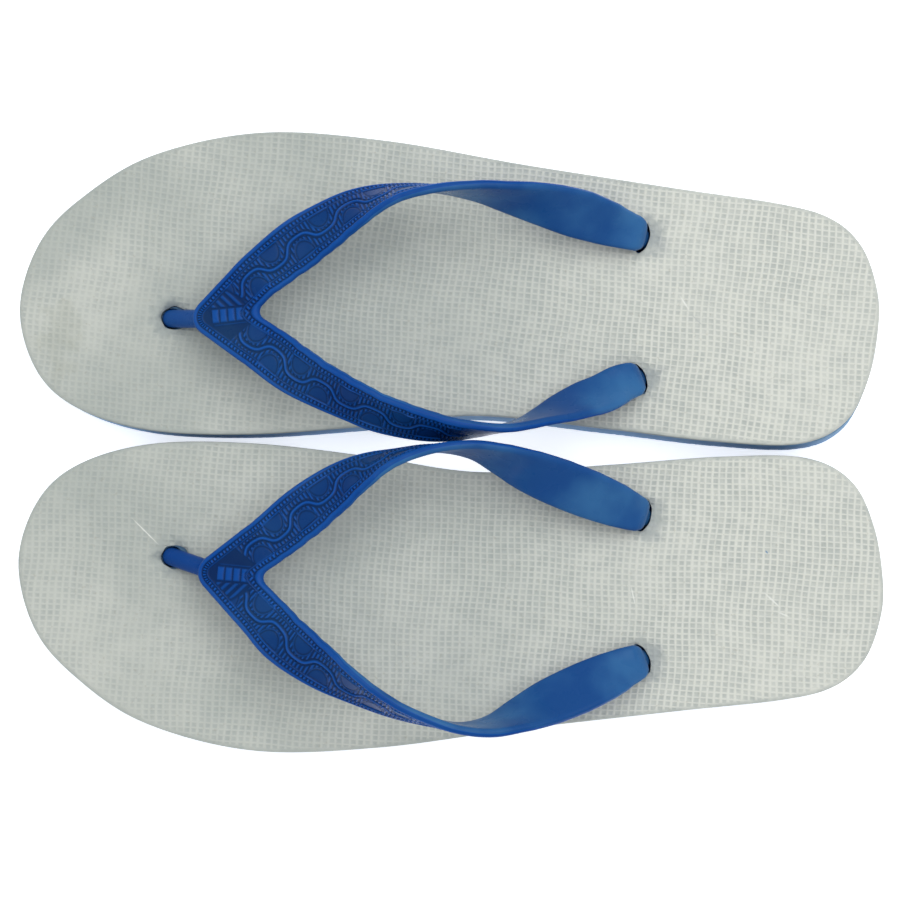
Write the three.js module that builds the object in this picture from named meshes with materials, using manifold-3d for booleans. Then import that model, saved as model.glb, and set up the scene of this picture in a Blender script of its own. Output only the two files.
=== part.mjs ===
// A pair of rubber flip flops lying side by side, toes towards -X and heels towards +X.
// The right one is on the +Y side and the left one on the -Y side, arch sides together.
// Each is three pieces: a white footbed, a blue outsole glued under it, and one moulded strap
// whose toe post and two stems pass through the sole and end in plugs under it.
// Millimetres, +Z up, origin at the middle of the underside.
// Points on one flip flop are [along, outward, up]: from toe to heel, from its own middle line
// towards its outer side, and up from the floor.

import * as THREE from "three";
import { mergeVertices } from "three/addons/utils/BufferGeometryUtils.js";
import Module from "manifold-3d";

const wasm = await Module();
wasm.setup();

// ---------- driving dimensions ----------

const SOLE_HEIGHT = 15;
const OUTSOLE_HEIGHT = 12;
const LAYER_GAP = 0.3;
const FOOTBED_EDGE = 0.5;
const OUTSOLE_FLARE = 0.6;
const OUTLINE_STEPS = 140;

// the sole's outline, from the toe round the outer side to the heel and back along the arch side
const SOLE_OUTLINE = [
  [-138.3, -7], [-132, 14.1], [-118, 29], [-95, 42.5], [-60, 49.5], [-20, 46.5],
  [25, 38.2], [75, 29.9], [108, 24.6], [124, 19.6], [133.5, 10.5], [138, -3],
  [138.3, -15], [134.8, -32], [127, -46.2], [112, -53], [85, -52],
  [50, -47.6], [8, -43], [-28, -46.2], [-65, -48.4], [-97, -46.7], [-120, -39.3], [-133, -27],
];

const TOE_HOLE = [-89.3, -10.7];
const OUTER_HOLE = [62.1, 14.3];
const ARCH_HOLE = [60.4, -31.6];
const HOLE_CLEARANCE = 0.45;

const PLATE_WIDTH = 15.6;
const TIP_NARROWING = 0.86;
const BAND_THICKNESS = 2.8;
const BAND_EDGE = 0.8;
const TIP_REACH = 7.2;
const PLATE_LENGTH = 19;
const PLATE_SLOPE = 0.2;
const BAND_ROWS = 42;

const BEND_RADIUS = 5;
const BEND_START = 35;
const BEND_ROWS = 4;
const NECK_WIDTH = 11.4;
const NECK_THICKNESS = 3.2;
const STEM_DIAMETER = 7;
const STEM_TOP = 11;
const STEM_END = 1.6;
const STEM_ROWS = 4;

const POST_RADIUS = 2.95;
const POST_UPRIGHT = [8, 14.8, 16.6];
const POST_STEPS = 22;

const PLUG_TOP = 3.2;
const PLUG_BOTTOM = 0.6;
const SIDE_PLUG_RADIUS = 8.5;
const TOE_PLUG_RADIUS = 7.5;
const PLUG_CLEARANCE = 0.4;
const ROUND_SIDES = 24;

// Each arm is a band that leaves the V flat, turns on edge beside the foot and lays its smooth
// inner face up again before its hole. Every row is a station of the band's middle line:
// [along, outward, up, width, roll], where roll is how far the inner edge has turned up, in degrees.
const RIGHT = {
  name: "right",
  side: 1,
  middle: 51.6,
  turn: 0.5,
  apex: [-73.6, -12.5, 31.5],
  outerArm: {
    heading: 42,
    hole: OUTER_HOLE,
    stations: [
      [-48.2, 8.6, 36.5, 16.8, 3], [-38.3, 15, 38, 16.8, 21], [-28.4, 20.6, 39.3, 16.8, 41],
      [-17.6, 24.5, 40, 16.8, 64], [-4.7, 26.1, 40, 16.8, 80], [8.6, 25.6, 38.7, 16.8, 96],
      [18.6, 24.1, 36.6, 16.8, 111], [29.6, 22.2, 33.2, 16.8, 130], [40.8, 19.7, 29.2, 16.8, 145],
      [49.5, 17.4, 25.5, 15, 153], [55.2, 15.9, 22.4, 12.8, 167],
    ],
  },
  archArm: {
    heading: -33.5,
    hole: ARCH_HOLE,
    stations: [
      [-48.5, -29.8, 36.5, 16.8, 26], [-39.9, -35, 38, 16.8, 38], [-31, -39.6, 39, 16.8, 46],
      [-21.8, -43.9, 39.7, 16.8, 52], [-9.1, -47.6, 39.7, 16.8, 63], [0.8, -49.2, 39, 16.8, 75],
      [9.5, -49.3, 37.7, 16.8, 86], [17.2, -48.7, 36.2, 16.8, 95], [23.5, -47.2, 34.5, 16.8, 101],
      [29.5, -44.9, 32.5, 16.8, 111], [35.8, -42.2, 30.2, 16.6, 125],
      [42.2, -39.5, 27.8, 16.2, 136], [48.5, -37.1, 25.2, 15, 147], [54.1, -34, 22.4, 12.8, 166],
    ],
  },
};

const LEFT = {
  name: "left",
  side: -1,
  middle: -52,
  turn: -3,
  apex: [-71.8, -6.2, 31.5],
  outerArm: {
    heading: 41.5,
    hole: OUTER_HOLE,
    stations: [
      [-50.5, 13, 36.6, 16.8, 17], [-39.7, 20.3, 38.3, 16.8, 34], [-28.1, 26.8, 39.5, 16.8, 58],
      [-15.7, 32.4, 40, 16.8, 74], [-3.1, 36, 40, 16.8, 85], [6.5, 37.6, 39.1, 16.8, 92],
      [15.6, 36.5, 37.3, 16.8, 105], [24.5, 32.6, 34.6, 16.8, 125], [34, 27.9, 31.4, 16.8, 144],
      [44, 23, 27.9, 16.6, 151], [52, 19, 24.4, 14.8, 158], [56.3, 16.8, 22, 12.8, 167],
    ],
  },
  archArm: {
    heading: -37,
    hole: ARCH_HOLE,
    stations: [
      [-47.2, -25.9, 36.7, 16.8, 12], [-37.4, -34, 38.3, 16.8, 30], [-28.8, -40, 39.5, 16.8, 52],
      [-19.4, -44.6, 40, 16.8, 74], [-7, -48.2, 39.7, 16.8, 86], [4.9, -48.6, 38.4, 16.8, 100],
      [14, -46.3, 36.6, 16.8, 118], [22.5, -43.3, 34.2, 16.8, 136], [32, -40.2, 31.2, 16.8, 148],
      [41.5, -37.2, 27.9, 16.6, 151], [49.5, -34.7, 24.8, 15, 156], [55, -33, 22.3, 12.8, 167],
    ],
  },
};

// ---------- materials ----------

const WHITE_RUBBER = new THREE.MeshStandardMaterial({ color: "#c3c8c1", roughness: 0.8 });
const BLUE_SOLE_RUBBER = new THREE.MeshStandardMaterial({ color: "#7d9cc4", roughness: 0.7 });
const BLUE_STRAP_RUBBER = new THREE.MeshStandardMaterial({ color: "#1d4f9a", roughness: 0.35 });

// ---------- solids ----------

const degrees = THREE.MathUtils.degToRad;

function solidOf(geometry) {
  const bare = geometry.clone();
  bare.deleteAttribute("normal");
  bare.deleteAttribute("uv");
  const welded = mergeVertices(bare, 1e-4);
  const vertProperties = new Float32Array(welded.attributes.position.array);
  const triVerts = new Uint32Array(welded.index.array);
  return new wasm.Manifold(new wasm.Mesh({ numProp: 3, vertProperties, triVerts }));
}

function geometryOf(solid) {
  const mesh = solid.getMesh();
  const geometry = new THREE.BufferGeometry();
  geometry.setAttribute("position", new THREE.BufferAttribute(mesh.vertProperties, 3));
  geometry.setIndex(new THREE.BufferAttribute(mesh.triVerts, 1));
  geometry.computeVertexNormals();
  return geometry;
}

function named(name, solid, material) {
  const mesh = new THREE.Mesh(geometryOf(solid), material);
  mesh.name = name;
  return mesh;
}

// an upright round bar from one height to another
function roundBar([x, y], radius, bottom, top) {
  const bar = new THREE.CylinderGeometry(radius, radius, top - bottom, ROUND_SIDES);
  bar.rotateX(Math.PI / 2);
  bar.translate(x, y, (bottom + top) / 2);
  return solidOf(bar);
}

// ---------- sole ----------

function soleShape(side) {
  const corners = SOLE_OUTLINE.map(([x, y]) => new THREE.Vector3(x, side * y, 0));
  const curve = new THREE.CatmullRomCurve3(corners, true, "catmullrom", 0.5);
  const outline = curve.getSpacedPoints(OUTLINE_STEPS);
  return new THREE.Shape(outline.slice(0, -1).map((p) => new THREE.Vector2(p.x, p.y)));
}

// the oblong hole that an arm's neck goes down through, long across the arm's own direction
function neckHole(arm, side) {
  const half = NECK_WIDTH / 2 + HOLE_CLEARANCE;
  const end = STEM_DIAMETER / 2 + HOLE_CLEARANCE;
  const shape = new THREE.Shape();
  shape.absellipse(0, 0, end, half, 0, 2 * Math.PI);
  const options = { depth: SOLE_HEIGHT, bevelEnabled: false, curveSegments: ROUND_SIDES };
  const prism = new THREE.ExtrudeGeometry(shape, options);
  prism.rotateZ(side * armHeading(arm));
  prism.translate(arm.hole[0], side * arm.hole[1], OUTSOLE_HEIGHT - LAYER_GAP);
  return solidOf(prism);
}

function footbed(shoe) {
  const options = {
    depth: SOLE_HEIGHT - OUTSOLE_HEIGHT - LAYER_GAP - 2 * FOOTBED_EDGE,
    bevelThickness: FOOTBED_EDGE,
    bevelSize: FOOTBED_EDGE,
    bevelOffset: -FOOTBED_EDGE,
    bevelSegments: 1,
  };
  const sheet = new THREE.ExtrudeGeometry(soleShape(shoe.side), options);
  sheet.translate(0, 0, OUTSOLE_HEIGHT + LAYER_GAP + FOOTBED_EDGE);
  const toeHole = [TOE_HOLE[0], shoe.side * TOE_HOLE[1]];
  const solid = solidOf(sheet)
    .subtract(roundBar(toeHole, POST_RADIUS + HOLE_CLEARANCE, 0, 2 * SOLE_HEIGHT))
    .subtract(neckHole(shoe.outerArm, shoe.side))
    .subtract(neckHole(shoe.archArm, shoe.side));
  return named(`${shoe.name}_footbed`, solid, WHITE_RUBBER);
}

// widens the block's underside a little all round
function flareUnderside(block) {
  const places = block.attributes.position;
  const grow = [1 + OUTSOLE_FLARE / 138, 1 + OUTSOLE_FLARE / 50];
  for (let i = 0; i < places.count; i += 1) {
    if (places.getZ(i) < 0.01) {
      places.setXY(i, places.getX(i) * grow[0], places.getY(i) * grow[1]);
    }
  }
  return block;
}

function outsole(shoe) {
  const options = { depth: OUTSOLE_HEIGHT, bevelEnabled: false };
  const block = flareUnderside(new THREE.ExtrudeGeometry(soleShape(shoe.side), options));
  const stemHoleRadius = STEM_DIAMETER / 2 + 3 * HOLE_CLEARANCE;
  const holes = [
    [TOE_HOLE, POST_RADIUS + HOLE_CLEARANCE, TOE_PLUG_RADIUS],
    [OUTER_HOLE, stemHoleRadius, SIDE_PLUG_RADIUS],
    [ARCH_HOLE, stemHoleRadius, SIDE_PLUG_RADIUS],
  ];
  let solid = solidOf(block);
  for (const [[x, y], holeRadius, plugRadius] of holes) {
    const centre = [x, shoe.side * y];
    const seat = plugRadius + PLUG_CLEARANCE;
    solid = solid.subtract(roundBar(centre, holeRadius, -1, SOLE_HEIGHT));
    solid = solid.subtract(roundBar(centre, seat, -1, PLUG_TOP + PLUG_CLEARANCE));
  }
  return named(`${shoe.name}_outsole`, solid, BLUE_SOLE_RUBBER);
}

// ---------- strap ----------

const UP = new THREE.Vector3(0, 0, 1);

// the arm's direction in plan where it comes to its hole
function armHeading(arm) {
  const last = arm.stations[arm.stations.length - 1];
  return Math.atan2(arm.hole[1] - last[1], arm.hole[0] - last[0]);
}

// half the angle between the two arms at the V
function halfOpening(shoe) {
  return degrees((shoe.outerArm.heading - shoe.archArm.heading) / 2);
}

// the roll that lays both arms in the one sloping plane of the V
function plateRoll(shoe) {
  const half = halfOpening(shoe);
  const climb = PLATE_SLOPE * Math.cos(half);
  return Math.atan((PLATE_SLOPE * Math.sin(half)) / Math.sqrt(1 + climb * climb));
}

// the band's middle line and, on the same parameter, its width, roll and thickness
function armCurves(shoe, arm) {
  const angle = degrees(arm.heading);
  const climb = PLATE_SLOPE * Math.cos(halfOpening(shoe));
  const roll = plateRoll(shoe);
  const line = [];
  const profile = [];
  for (const share of [0, 0.37, 0.69, 1]) {
    const run = PLATE_LENGTH * share;
    const [x, y, z] = shoe.apex;
    line.push(new THREE.Vector3(x + run * Math.cos(angle), y + run * Math.sin(angle), z + run * climb));
    profile.push(new THREE.Vector3(PLATE_WIDTH, roll, BAND_THICKNESS));
  }
  for (const [x, y, z, width, turn] of arm.stations) {
    line.push(new THREE.Vector3(x, y, z));
    profile.push(new THREE.Vector3(width, degrees(turn), BAND_THICKNESS));
  }
  const heading = armHeading(arm);
  const back = BEND_RADIUS * (1 - Math.sin(degrees(BEND_START)));
  const end = new THREE.Vector3(
    arm.hole[0] - back * Math.cos(heading),
    arm.hole[1] - back * Math.sin(heading),
    SOLE_HEIGHT + 0.5 + BEND_RADIUS * Math.cos(degrees(BEND_START)),
  );
  line.push(end);
  profile.push(new THREE.Vector3(NECK_WIDTH, Math.PI, NECK_THICKNESS));
  return {
    line: new THREE.CatmullRomCurve3(line, false, "catmullrom", 0.5),
    profile: new THREE.CatmullRomCurve3(profile, false, "catmullrom", 0.5),
    inward: arm === shoe.outerArm ? -1 : 1,
    heading,
    hole: arm.hole,
  };
}

// the frame of a cross-section: its centre, its inner direction, its patterned side, its size
function crossSection(centre, tangent, inner, roll, width, thickness, round) {
  const lift = new THREE.Vector3().crossVectors(tangent, inner);
  if (lift.dot(UP) < 0 || (Math.abs(lift.z) < 1e-6 && roll > 3)) lift.negate();
  const across = inner.clone().multiplyScalar(Math.cos(roll)).addScaledVector(lift, Math.sin(roll));
  const face = inner.clone().multiplyScalar(-Math.sin(roll)).addScaledVector(lift, Math.cos(roll));
  return { centre, across, face, width, thickness, round };
}

function bandSection(curves, share) {
  const t = curves.line.getUtoTmapping(share);
  const tangent = curves.line.getTangent(t);
  const inner = new THREE.Vector3(-tangent.y, tangent.x, 0).normalize().multiplyScalar(curves.inward);
  const [width, roll, thickness] = curves.profile.getPoint(t).toArray();
  return crossSection(curves.line.getPoint(t), tangent, inner, roll, width, thickness, 0);
}

// the neck's bend from the arm's last slope to straight down
function bendSection(curves, share) {
  const slope = THREE.MathUtils.lerp(degrees(BEND_START), Math.PI / 2, share);
  const forward = new THREE.Vector3(Math.cos(curves.heading), Math.sin(curves.heading), 0);
  const inner = new THREE.Vector3(-forward.y, forward.x, 0).multiplyScalar(curves.inward);
  const lift = forward.clone().multiplyScalar(Math.sin(slope)).addScaledVector(UP, Math.cos(slope));
  const centre = new THREE.Vector3(curves.hole[0], curves.hole[1], SOLE_HEIGHT + 0.5)
    .addScaledVector(forward, -BEND_RADIUS * (1 - Math.sin(slope)))
    .addScaledVector(UP, BEND_RADIUS * Math.cos(slope));
  return {
    centre,
    across: inner.negate(),
    face: lift.negate(),
    width: NECK_WIDTH,
    thickness: NECK_THICKNESS,
    round: 0,
  };
}

// the stem, which turns from the flat neck into a round bar inside the sole
function stemSection(curves, share) {
  const section = bendSection(curves, 1);
  const top = section.centre.z;
  section.centre.z = THREE.MathUtils.lerp(top, STEM_END, share);
  const turned = THREE.MathUtils.clamp((top - section.centre.z) / (top - STEM_TOP), 0, 1);
  section.width = THREE.MathUtils.lerp(NECK_WIDTH, STEM_DIAMETER, turned);
  section.thickness = THREE.MathUtils.lerp(NECK_THICKNESS, STEM_DIAMETER, turned);
  section.round = turned;
  return section;
}

// a point of a section from its place on a square: side and face both run from -1 to 1
function sectionPoint(section, side, face) {
  const corner = Math.abs(side) === 1 && face !== 0 ? BAND_EDGE : 0;
  const half = (section.width / 2) * (side < 0 ? section.outer ?? 1 : 1);
  const flat = [side * half - Math.sign(side) * corner, (face * section.thickness) / 2];
  const shrink = Math.max(Math.abs(side), Math.abs(face)) / (Math.hypot(side, face) || 1);
  const circle = [(shrink * side * section.width) / 2, (shrink * face * section.thickness) / 2];
  const across = THREE.MathUtils.lerp(flat[0], circle[0], section.round);
  const out = THREE.MathUtils.lerp(flat[1], circle[1], section.round);
  return section.centre.clone().addScaledVector(section.across, across).addScaledVector(section.face, out);
}

// how far along the arm its first row starts, at a place across it: on the mitre line between
// the two arms, or on the round tip in front of it
function mitreStart(shoe, across) {
  const half = halfOpening(shoe);
  const tipAcross = -TIP_REACH * Math.sin(half);
  if (across >= tipAcross) return across / Math.tan(half);
  const share = (across - tipAcross) / ((-PLATE_WIDTH / 2) * TIP_NARROWING - tipAcross);
  return -TIP_REACH * Math.cos(half) * Math.sqrt(Math.max(0, 1 - share * share));
}

// a point of the arm's flat stretch, which continues straight back through the V to the mitre
function armPoint(shoe, curves, row, side, face) {
  if (row > BAND_ROWS + BEND_ROWS) {
    const share = (row - BAND_ROWS - BEND_ROWS) / STEM_ROWS;
    return sectionPoint(stemSection(curves, share), side, face);
  }
  if (row > BAND_ROWS) {
    return sectionPoint(bendSection(curves, (row - BAND_ROWS) / BEND_ROWS), side, face);
  }
  const length = curves.line.getLength();
  const corner = Math.abs(side) === 1 && face !== 0 ? BAND_EDGE : 0;
  const half = (PLATE_WIDTH / 2) * (side < 0 ? TIP_NARROWING : 1);
  const across = side * half - Math.sign(side) * corner;
  const start = mitreStart(shoe, across);
  const even = (length * row) / BAND_ROWS;
  const fade = Math.min(1, even / PLATE_LENGTH);
  const run = even + start * (1 - fade);
  const section = bandSection(curves, Math.max(0, run) / length);
  section.outer = THREE.MathUtils.lerp(TIP_NARROWING, 1, fade);
  const point = sectionPoint(section, side, face);
  if (run < 0) point.addScaledVector(curves.line.getTangent(0), run);
  return point;
}

// both arms as one closed band, from the end of the arch arm through the V to the outer arm
function band(shoe) {
  const rows = BAND_ROWS + BEND_ROWS + STEM_ROWS;
  const box = new THREE.BoxGeometry(2, 2, 2, 2 * rows, 4, 2);
  const places = box.attributes.position;
  const outer = armCurves(shoe, shoe.outerArm);
  const arch = armCurves(shoe, shoe.archArm);
  for (let i = 0; i < places.count; i += 1) {
    const row = Math.round(places.getX(i) * rows);
    const curves = row >= 0 ? outer : arch;
    const side = -shoe.side * places.getY(i);
    const point = armPoint(shoe, curves, Math.abs(row), side, places.getZ(i));
    places.setXYZ(i, point.x, shoe.side * point.y, point.z);
  }
  return solidOf(box);
}

// the round post between the first two toes: upright in the sole, then leaning back to the V
function toePost(shoe) {
  const [x, y, z] = shoe.apex;
  const axis = degrees((shoe.outerArm.heading + shoe.archArm.heading) / 2);
  const top = new THREE.Vector3(x - 2 * Math.cos(axis), y - 2 * Math.sin(axis), z);
  const down = new THREE.Vector3(Math.cos(axis) * PLATE_SLOPE, Math.sin(axis) * PLATE_SLOPE, -1);
  down.normalize();
  const below = top.clone().addScaledVector(down, 5);
  const upright = [STEM_END, ...POST_UPRIGHT].map((height) => new THREE.Vector3(...TOE_HOLE, height));
  const knee = upright[upright.length - 1];
  const route = [...upright, knee.clone().lerp(below, 0.33), knee.clone().lerp(below, 0.67), below, top];
  for (const point of route) point.y *= shoe.side;
  const circle = new THREE.Shape().absarc(0, 0, POST_RADIUS, 0, 2 * Math.PI);
  const options = {
    steps: POST_STEPS,
    curveSegments: 6,
    extrudePath: new THREE.CatmullRomCurve3(route, false, "catmullrom", 0.5),
  };
  return solidOf(new THREE.ExtrudeGeometry(circle, options));
}

function strap(shoe) {
  const plugs = [[TOE_HOLE, TOE_PLUG_RADIUS], [OUTER_HOLE, SIDE_PLUG_RADIUS], [ARCH_HOLE, SIDE_PLUG_RADIUS]];
  let solid = band(shoe).add(toePost(shoe));
  for (const [[x, y], radius] of plugs) {
    solid = solid.add(roundBar([x, shoe.side * y], radius, PLUG_BOTTOM, PLUG_TOP));
  }
  return named(`${shoe.name}_strap`, solid, BLUE_STRAP_RUBBER);
}

// ---------- the pair ----------

function flipFlop(shoe) {
  const group = new THREE.Group();
  group.add(footbed(shoe), outsole(shoe), strap(shoe));
  group.position.y = shoe.middle;
  group.rotation.z = degrees(shoe.turn);
  return group;
}

function centredOnFloor(group) {
  group.updateMatrixWorld(true);
  const box = new THREE.Box3().setFromObject(group, true);
  group.position.x = -(box.min.x + box.max.x) / 2;
  group.position.y = -(box.min.y + box.max.y) / 2;
  return group;
}

const pair = new THREE.Group();
pair.add(flipFlop(LEFT), flipFlop(RIGHT));
export default centredOnFloor(pair);
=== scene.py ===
"""A pair of rubber flip flops: netted white footbeds on blue outsoles, with moulded blue straps."""

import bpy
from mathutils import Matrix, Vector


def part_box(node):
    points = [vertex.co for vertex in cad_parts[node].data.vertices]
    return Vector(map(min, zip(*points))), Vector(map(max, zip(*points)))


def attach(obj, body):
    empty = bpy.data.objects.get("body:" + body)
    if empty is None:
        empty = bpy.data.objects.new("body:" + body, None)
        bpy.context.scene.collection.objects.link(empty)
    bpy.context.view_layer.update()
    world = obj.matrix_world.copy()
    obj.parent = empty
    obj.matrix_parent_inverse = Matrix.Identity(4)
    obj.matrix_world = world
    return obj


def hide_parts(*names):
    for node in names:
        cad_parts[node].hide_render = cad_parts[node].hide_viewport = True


bl_info = {
    "name": "Rubber Flip Flops",
    "version": (1, 0, 0),
    "blender": (4, 5, 0),
    "location": "View3D > Sidebar > Flip Flops",
    "description": "Makes a pair of flip flops with netted footbeds, treaded outsoles and moulded straps",
    "category": "Add Mesh",
}

import math

import bmesh
import bpy
import numpy as np
from bpy.props import FloatProperty, FloatVectorProperty, PointerProperty
from mathutils import Vector

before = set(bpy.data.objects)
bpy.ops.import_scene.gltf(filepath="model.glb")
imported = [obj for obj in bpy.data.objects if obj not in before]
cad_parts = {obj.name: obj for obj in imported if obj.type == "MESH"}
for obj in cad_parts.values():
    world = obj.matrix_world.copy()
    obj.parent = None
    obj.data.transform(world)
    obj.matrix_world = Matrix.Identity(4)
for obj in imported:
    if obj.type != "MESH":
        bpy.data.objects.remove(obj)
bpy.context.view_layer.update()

MM = 0.001

# ---------- shapes shared by both flip flops, in millimetres ----------
# A point is [along, outward, up]: from toe to heel, from the sole's middle line towards its
# outer side, and up from the floor.

SOLE_TOP = 15.0
OUTSOLE_TOP = 12.3
OUTSOLE_FLARE = 0.6
LOWER_BEVEL = 0.5
# The right outsole spreads past its footbed round this corner of its heel.
HEEL_CORNER = [127, -46]
HEEL_SPREAD = 1.1
HEEL_SPREAD_REACH = 17
SOLE_HALF_SIZE = [138, 50]
SOLE_OUTLINE = [
    [-138.3, -7], [-132, 14.1], [-118, 29], [-95, 42.5], [-60, 49.5], [-20, 46.5],
    [25, 38.2], [75, 29.9], [108, 24.6], [124, 19.6], [133.5, 10.5], [138, -3],
    [138.3, -15], [134.8, -32], [127, -46.2], [112, -53], [85, -52],
    [50, -47.6], [8, -43], [-28, -46.2], [-65, -48.4], [-97, -46.7], [-120, -39.3], [-133, -27],
]
OUTLINE_STEPS = 300

NET_SIZE = (300, 132)
# Pairs of (inward, share of the pit's depth), from a pit's rim to its floor.
PIT_STEPS = [(0.1, 0.0), (0.5, 0.85), (0.16, 0.15)]
# Pairs of (inward, upward) that round off the footbed's upper edge.
FOOTBED_EDGE = [(0.1, 0.3), (0.2, 0.22), (0.3, 0.12), (0.35, 0.05), (0.4, 0.1), (0.8, 0.5), (2, 0.6)]
NET_SKEW = {"right": -0.118, "left": -0.012}
# A side hole's half length: narrow at the footbed's top, wide inside.
MOUTH_REACH = 2.5
SHAFT_REACH = 4.0

TREAD_SIZE = (320, 320)
TREAD_STEPS = [(0.45, 0.0), (0.25, 1.0), (1.0, 0.0), (0.2, -0.35)]

TOE_HOLE = [-89.3, -10.7]
OUTER_HOLE = [62.1, 14.3]
ARCH_HOLE = [60.4, -31.6]

PLATE_WIDTH = 15.6
PLATE_LENGTH = 19.0
PLATE_SLOPE = 0.2
TIP_NARROWING = 0.86
TIP_REACH = 7.2
CROTCH_RADIUS = 3.0
NECK_WIDTH = 11.4
NECK_TAPER = 0.8
LOW_NECK_WIDTH = 6.84
NECK_THICKNESS = 3.2
BEND_RADIUS = 5.0
BEND_START = math.radians(35)
STEM_DIAMETER = 7.0
STEM_TOP = 11.0
STEM_END = 1.6
POST_RADIUS = 2.95
POST_UPRIGHT = [7, 11.5, 13]
PLUG_TOP = 3.2
PLUG_BOTTOM = 0.6
PLUG_RADII = [7.5, 8.5, 8.5]
# Pairs of (inward, outward) that shape a plug's underside.
PLUG_STEPS = [(0.35, 0.35), (1.6, 0.0), (0.3, -0.35), (1.2, 0.0), (0.3, 0.35)]
SEAT_GAP = 0.4
SHAFT_RADII = [3.4, 4.85, 4.85]

TOOTH_PITCH = 1.25
RIB_PITCH = 1.3
PAD_PITCH = 2.6
VINE_SWING = 2.1
VINE_SHARPNESS = 1.6
MEDALLION_HALF_LENGTH = 3.1
MEDALLION_DEPTH = 4.2
MEDALLION_FLAT = 4.4
SMOOTH_BACK = 0.6  # the value of the relief attribute where the band is smooth
MERGE = 0.002

# Each station of an arm's middle line is [along, outward, up, width, roll in degrees].
RIGHT = {
    "name": "right", "side": 1, "middle": 51.6, "turn": math.radians(0.5),
    "apex": [-73.6, -12.5, 31.5],
    "arms": {
        "outer": {
            "heading": 42, "hole": OUTER_HOLE, "first_medallion": 17.0, "wave": 18.6,
            "stations": [
                [-48.2, 8.6, 36.5, 16.8, 3], [-38.3, 15, 38, 16.8, 21], [-28.4, 20.6, 39.3, 16.8, 41],
                [-17.6, 24.5, 40, 16.8, 64], [-4.7, 26.1, 40, 16.8, 80], [8.6, 25.6, 38.7, 16.8, 96],
                [18.6, 24.1, 36.6, 16.8, 111], [29.6, 22.2, 33.2, 16.8, 130], [40.8, 19.7, 29.2, 16.8, 145],
                [49.5, 17.4, 25.5, 15, 153], [55.2, 15.9, 22.4, 12.8, 167],
            ],
        },
        "arch": {
            "heading": -33.5, "hole": ARCH_HOLE, "first_medallion": 14.5, "wave": 18.0,
            "stations": [
                [-48.5, -29.8, 36.5, 16.8, 26], [-39.9, -35, 38, 16.8, 38], [-31, -39.6, 39, 16.8, 46],
                [-21.8, -43.9, 39.7, 16.8, 52], [-9.1, -47.6, 39.7, 16.8, 63], [0.8, -49.2, 39, 16.8, 75],
                [9.5, -49.3, 37.7, 16.8, 86], [17.2, -48.7, 36.2, 16.8, 95], [23.5, -47.2, 34.5, 16.8, 101],
                [29.5, -44.9, 32.5, 16.8, 111], [35.8, -42.2, 30.2, 16.6, 125],
                [42.2, -39.5, 27.8, 16.2, 136], [48.5, -37.1, 25.2, 15, 147], [54.1, -34, 22.4, 12.8, 166],
            ],
        },
    },
}
LEFT = {
    "name": "left", "side": -1, "middle": -52.0, "turn": math.radians(-3),
    "apex": [-71.8, -6.2, 31.5],
    "arms": {
        "outer": {
            "heading": 41.5, "hole": OUTER_HOLE, "first_medallion": 17.0, "wave": 18.6,
            "stations": [
                [-50.5, 13, 36.6, 16.8, 17], [-39.7, 20.3, 38.3, 16.8, 34], [-28.1, 26.8, 39.5, 16.8, 58],
                [-15.7, 32.4, 40, 16.8, 74], [-3.1, 36, 40, 16.8, 85], [6.5, 37.6, 39.1, 16.8, 92],
                [15.6, 36.5, 37.3, 16.8, 105], [24.5, 32.6, 34.6, 16.8, 125], [34, 27.9, 31.4, 16.8, 144],
                [44, 23, 27.9, 16.6, 151], [52, 19, 24.4, 14.8, 158], [56.3, 16.8, 22, 12.8, 167],
            ],
        },
        "arch": {
            "heading": -37, "hole": ARCH_HOLE, "first_medallion": 14.5, "wave": 18.0,
            "stations": [
                [-47.2, -25.9, 36.7, 16.8, 12], [-37.4, -34, 38.3, 16.8, 30], [-28.8, -40, 39.5, 16.8, 52],
                [-19.4, -44.6, 40, 16.8, 74], [-7, -48.2, 39.7, 16.8, 86], [4.9, -48.6, 38.4, 16.8, 100],
                [14, -46.3, 36.6, 16.8, 118], [22.5, -43.3, 34.2, 16.8, 136], [32, -40.2, 31.2, 16.8, 148],
                [41.5, -37.2, 27.9, 16.6, 151], [49.5, -34.7, 24.8, 15, 156], [55, -33, 22.3, 12.8, 167],
            ],
        },
    },
}
SHOES = [LEFT, RIGHT]


# ---------- settings ----------


class FootbedSettings(bpy.types.PropertyGroup):
    """Sizes and colours of the netted white footbeds"""

    pitch_along: FloatProperty(
        name="Net pitch along", description="Distance between the cross ridges of the net",
        default=2.2 * MM, unit="LENGTH")
    pitch_across: FloatProperty(
        name="Net pitch across", description="Distance between the lengthwise ridges of the net",
        default=1.8 * MM, unit="LENGTH")
    pit_depth: FloatProperty(
        name="Pit depth", description="How far the pits of the net go below its ridges",
        default=0.3 * MM, unit="LENGTH")
    foam_colour: FloatVectorProperty(
        name="Foam", description="Clean white foam rubber", subtype="COLOR",
        default=(0.672, 0.69, 0.636))
    soiled_colour: FloatVectorProperty(
        name="Soiled foam", description="Foam rubber greyed by wear", subtype="COLOR",
        default=(0.42, 0.455, 0.425))


class OutsoleSettings(bpy.types.PropertyGroup):
    """Sizes and colour of the blue outsoles"""

    tread_pitch: FloatProperty(
        name="Tread pitch", description="Size of one tread block", default=5.2 * MM, unit="LENGTH")
    groove_depth: FloatProperty(
        name="Groove depth", description="Depth of the grooves between the blocks",
        default=1.0 * MM, unit="LENGTH")
    rubber_colour: FloatVectorProperty(
        name="Rubber", description="Blue foam rubber of the outsole", subtype="COLOR",
        default=(0.14, 0.3, 0.5))


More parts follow.
